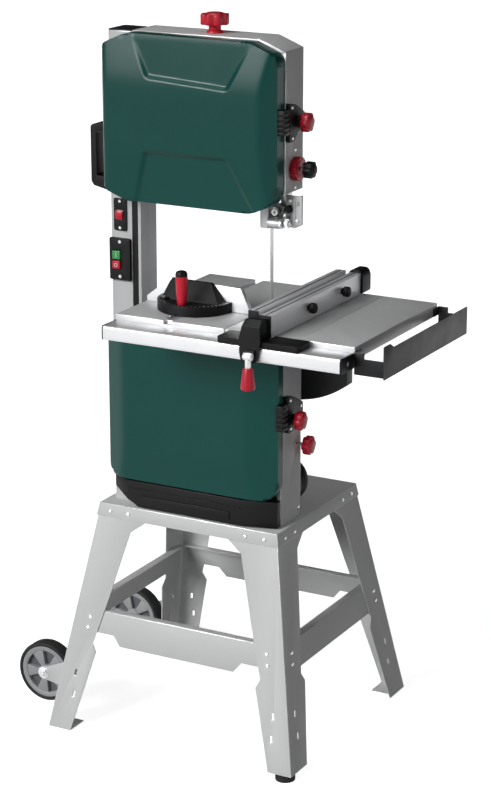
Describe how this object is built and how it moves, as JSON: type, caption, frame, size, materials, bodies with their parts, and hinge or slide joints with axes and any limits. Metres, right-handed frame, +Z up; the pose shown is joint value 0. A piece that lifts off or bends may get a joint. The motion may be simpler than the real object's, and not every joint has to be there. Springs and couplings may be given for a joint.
{
  "type": "band saw",
  "caption": "Upright two-wheel band saw on a splayed sheet-steel stand, with a tilting table, rip fence, mitre gauge and hinged wheel covers.",
  "frame": {"origin": "middle of the footprint at floor level", "axes": "+Z up; +X to the operator's right, from the column towards the blade; +Y away from the operator"},
  "size_m": [0.9686, 0.7186, 1.5979],
  "materials": {
    "grey_paint": "light grey powder coat, fine texture",
    "green_paint": "dark green smooth paint",
    "black_plastic": "black moulded plastic",
    "black_paint": "black paint on cast or pressed steel",
    "red_plastic": "red moulded plastic",
    "green_plastic": "green moulded plastic",
    "aluminium": "drawn aluminium, satin",
    "table_iron": "ground machined top, satin",
    "steel": "bright ground steel",
    "black_rubber": "black rubber"
  },
  "bodies": {
    "frame": {"stand_tray": "grey_paint", "stand_leg_front_left": "grey_paint", "stand_leg_front_right": "grey_paint", "stand_leg_rear_left": "grey_paint", "stand_leg_rear_right": "grey_paint", "stand_brace_front": "grey_paint", "stand_brace_rear": "grey_paint", "stand_brace_left": "grey_paint", "stand_brace_right": "grey_paint", "wheel_bracket_front": "grey_paint", "wheel_bracket_rear": "grey_paint", "column": "grey_paint", "upper_housing": "grey_paint", "lower_housing": "grey_paint", "dust_port": "black_plastic", "carry_handle": "black_plastic", "base_skirt": "black_plastic", "upper_latch_bracket": "black_plastic", "lower_latch_bracket": "black_plastic", "light_switch_plate": "black_plastic", "start_stop_plate": "black_plastic", "band_blade": "steel", "motor": "black_paint", "drive_belt": "black_rubber", "lower_guide_block": "steel", "trunnion_base": "black_paint"},
    "upper_door": {"upper_door": "green_paint"},
    "lower_door": {"lower_door": "green_paint"},
    "upper_latch_knob": {"upper_latch_knob": "red_plastic"},
    "lower_latch_knob": {"lower_latch_knob": "red_plastic"},
    "guide": {"guide_post": "steel", "upper_guide_block": "steel"},
    "guide_handwheel": {"guide_handwheel": "red_plastic"},
    "guide_clamp_knob": {"guide_clamp_knob": "black_plastic"},
    "belt_tension_knob": {"belt_tension_knob": "red_plastic"},
    "light_rocker": {"light_rocker": "red_plastic"},
    "start_button": {"start_button": "green_plastic"},
    "stop_button": {"stop_button": "red_plastic"},
    "lower_band_wheel": {"lower_band_wheel": "aluminium"},
    "motor_pulley": {"motor_pulley": "steel"},
    "tension_knob": {"tension_knob": "red_plastic"},
    "wheel_carriage": {"wheel_carriage": "steel"},
    "upper_band_wheel": {"upper_band_wheel": "aluminium"},
    "table": {"main_table": "table_iron", "table_extension": "aluminium", "table_insert": "aluminium", "front_rail": "aluminium", "fence_bracket": "black_paint", "trunnion_segment": "black_paint"},
    "tilt_lock_lever": {"tilt_lock_lever": "black_paint"},
    "fence": {"fence_carrier": "black_plastic", "fence_profile": "aluminium"},
    "fence_lever": {"fence_lever": "red_plastic"},
    "mitre_slide": {"mitre_bar": "steel"},
    "mitre_head": {"mitre_head": "black_plastic", "mitre_fence": "aluminium"},
    "mitre_handle": {"mitre_handle": "red_plastic"},
    "transport_wheel_front": {"transport_wheel_front": "black_rubber"},
    "transport_wheel_rear": {"transport_wheel_rear": "black_rubber"},
    "levelling_foot": {"levelling_foot": "black_rubber"}
  },
  "joints": [
    {"name": "table_tilt", "type": "hinge", "parent": "frame", "child": "table", "pos_m": [0.12725, -0.06028, 0.9983], "axis": [0, 1, 0], "range_deg": [0, 47]},
    {"name": "tilt_lock_turn", "type": "hinge", "parent": "frame", "child": "tilt_lock_lever", "pos_m": [0.00279, 0.06772, 0.86008], "axis": [0, 1, 0], "range_deg": [0, 60]},
    {"name": "guide_height", "type": "slide", "parent": "frame", "child": "guide", "axis": [0, 0, 1], "range_m": [-0.163, 0]},
    {"name": "guide_handwheel_turn", "type": "hinge", "parent": "frame", "child": "guide_handwheel", "pos_m": [0.16925, -0.02528, 1.289], "axis": [1, 0, 0], "range_deg": [-950, 10]},
    {"name": "guide_clamp_turn", "type": "hinge", "parent": "frame", "child": "guide_clamp_knob", "pos_m": [0.19725, -0.02528, 1.289], "axis": [1, 0, 0], "range_deg": [0, 90]},
    {"name": "upper_door_swing", "type": "hinge", "parent": "frame", "child": "upper_door", "pos_m": [-0.25425, -0.07978, 1.38], "axis": [0, 0, -1], "range_deg": [0, 100]},
    {"name": "lower_door_swing", "type": "hinge", "parent": "frame", "child": "lower_door", "pos_m": [-0.25425, -0.07978, 0.75], "axis": [0, 0, -1], "range_deg": [0, 100]},
    {"name": "upper_latch_turn", "type": "hinge", "parent": "frame", "child": "upper_latch_knob", "pos_m": [0.19325, -0.03128, 1.388], "axis": [1, 0, 0], "range_deg": [0, 90]},
    {"name": "lower_latch_turn", "type": "hinge", "parent": "frame", "child": "lower_latch_knob", "pos_m": [0.19325, -0.05128, 0.756], "axis": [1, 0, 0], "range_deg": [0, 90]},
    {"name": "belt_tension_turn", "type": "hinge", "parent": "frame", "child": "belt_tension_knob", "pos_m": [0.18825, -0.00228, 0.687], "axis": [1, 0, 0], "range_deg": [0, 1080]},
    {"name": "light_rocker_tilt", "type": "hinge", "parent": "frame", "child": "light_rocker", "pos_m": [-0.22875, -0.08128, 1.162], "axis": [1, 0, 0], "range_deg": [0, 8]},
    {"name": "start_press", "type": "slide", "parent": "frame", "child": "start_button", "axis": [0, 1, 0], "range_m": [0, 0.003], "stiffness_N_per_m": 400},
    {"name": "stop_press", "type": "slide", "parent": "frame", "child": "stop_button", "axis": [0, 1, 0], "range_m": [0, 0.003], "stiffness_N_per_m": 400},
    {"name": "tension_turn", "type": "hinge", "parent": "frame", "child": "tension_knob", "pos_m": [-0.02475, -0.02668, 1.575], "axis": [0, 0, 1], "range_deg": [-6, 2310]},
    {"name": "wheel_carriage_lift", "type": "slide", "parent": "frame", "child": "wheel_carriage", "axis": [0, 0, -1], "range_m": [0, 0.008]},
    {"name": "upper_wheel_spin", "type": "hinge", "parent": "wheel_carriage", "child": "upper_band_wheel", "pos_m": [-0.0314, -0.06028, 1.376], "axis": [0, 1, 0], "continuous": true},
    {"name": "lower_wheel_spin", "type": "hinge", "parent": "frame", "child": "lower_band_wheel", "pos_m": [-0.0314, -0.06028, 0.752], "axis": [0, 1, 0], "continuous": true},
    {"name": "motor_spin", "type": "hinge", "parent": "frame", "child": "motor_pulley", "pos_m": [-0.05075, -0.03528, 0.592], "axis": [0, 1, 0], "continuous": true},
    {"name": "fence_slide", "type": "slide", "parent": "table", "child": "fence", "axis": [-1, 0, 0], "range_m": [-0.09, 0.066]},
    {"name": "fence_lever_lift", "type": "hinge", "parent": "fence", "child": "fence_lever", "pos_m": [0.22425, -0.34428, 0.974], "axis": [-1, 0, 0], "range_deg": [0, 80]},
    {"name": "mitre_travel", "type": "slide", "parent": "table", "child": "mitre_slide", "axis": [0, 1, 0], "range_m": [-0.12, 0.12]},
    {"name": "mitre_swivel", "type": "hinge", "parent": "mitre_slide", "child": "mitre_head", "pos_m": [-0.00575, -0.15028, 1.01], "axis": [0, 0, -1], "range_deg": [-60, 60]},
    {"name": "mitre_handle_turn", "type": "hinge", "parent": "mitre_head", "child": "mitre_handle", "pos_m": [-0.00575, -0.20528, 1.05], "axis": [0, 0, 1], "range_deg": [0, 180]},
    {"name": "transport_wheel_front_spin", "type": "hinge", "parent": "frame", "child": "transport_wheel_front", "pos_m": [-0.41425, -0.12028, 0.088], "axis": [0, 1, 0], "continuous": true},
    {"name": "transport_wheel_rear_spin", "type": "hinge", "parent": "frame", "child": "transport_wheel_rear", "pos_m": [-0.41425, 0.25972, 0.088], "axis": [0, 1, 0], "continuous": true},
    {"name": "levelling_foot_turn", "type": "hinge", "parent": "frame", "child": "levelling_foot", "pos_m": [0.23825, -0.20128, 0.005], "axis": [0, 0, 1], "continuous": true}
  ],
  "couplings": [
    {"joint": "guide_handwheel_turn", "follows": "guide_height", "rad_per_m": 100},
    {"joint": "tension_turn", "follows": "wheel_carriage_lift", "rad_per_m": 5026.5},
    {"joint": "upper_wheel_spin", "follows": "lower_wheel_spin", "ratio": 1},
    {"joint": "motor_spin", "follows": "lower_wheel_spin", "ratio": 2.8}
  ]
}
